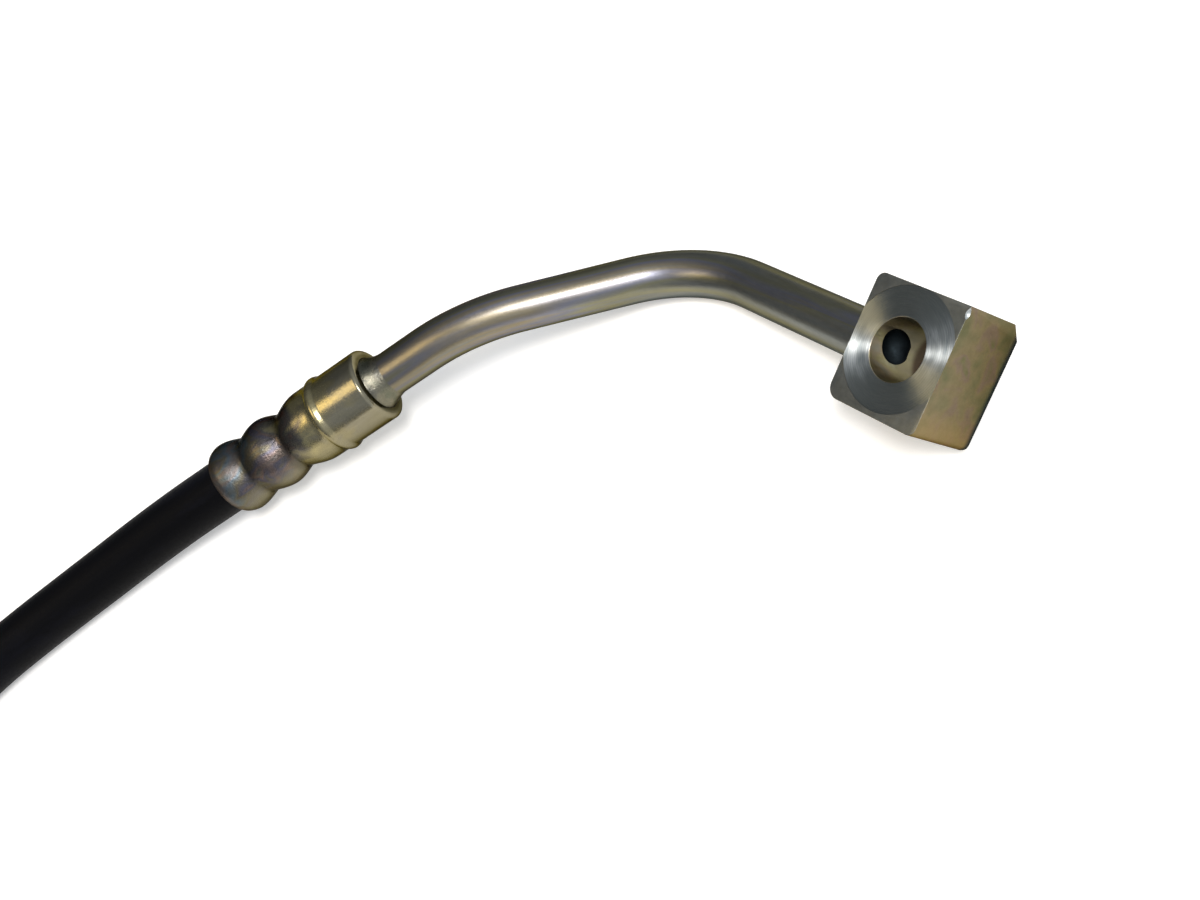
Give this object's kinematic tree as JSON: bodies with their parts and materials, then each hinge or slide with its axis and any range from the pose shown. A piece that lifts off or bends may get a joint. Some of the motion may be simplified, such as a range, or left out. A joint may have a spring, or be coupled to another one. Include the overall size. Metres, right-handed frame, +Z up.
{
  "type": "brake hose",
  "caption": "Black rubber brake hose with crimped plated ferrules, a bent steel pipe ending in a banjo block, and a hexagon fitting at the far end.",
  "frame": {"origin": "on the surface that the part lies on, under the middle of the banjo block, pipe and front ferrule taken together", "axes": "+X from the hose towards the banjo block, +Z up, +Y to the left of that run"},
  "size_m": [0.2509, 0.1354, 0.0221],
  "materials": {
    "plated_block": "yellow zinc plate, satin, turned faces",
    "plated_pipe": "zinc plate, satin",
    "plated_ferrule": "yellow zinc plate, satin",
    "plated_insert": "zinc plate, turned",
    "plated_fitting": "zinc plate, satin",
    "hose_rubber": "matt black"
  },
  "bodies": {
    "root": {"banjo_block": "plated_block", "pipe": "plated_pipe", "front_ferrule": "plated_ferrule", "front_insert": "plated_insert", "hose": "hose_rubber", "rear_ferrule": "plated_ferrule", "rear_fitting": "plated_fitting"}
  },
  "joints": []
}
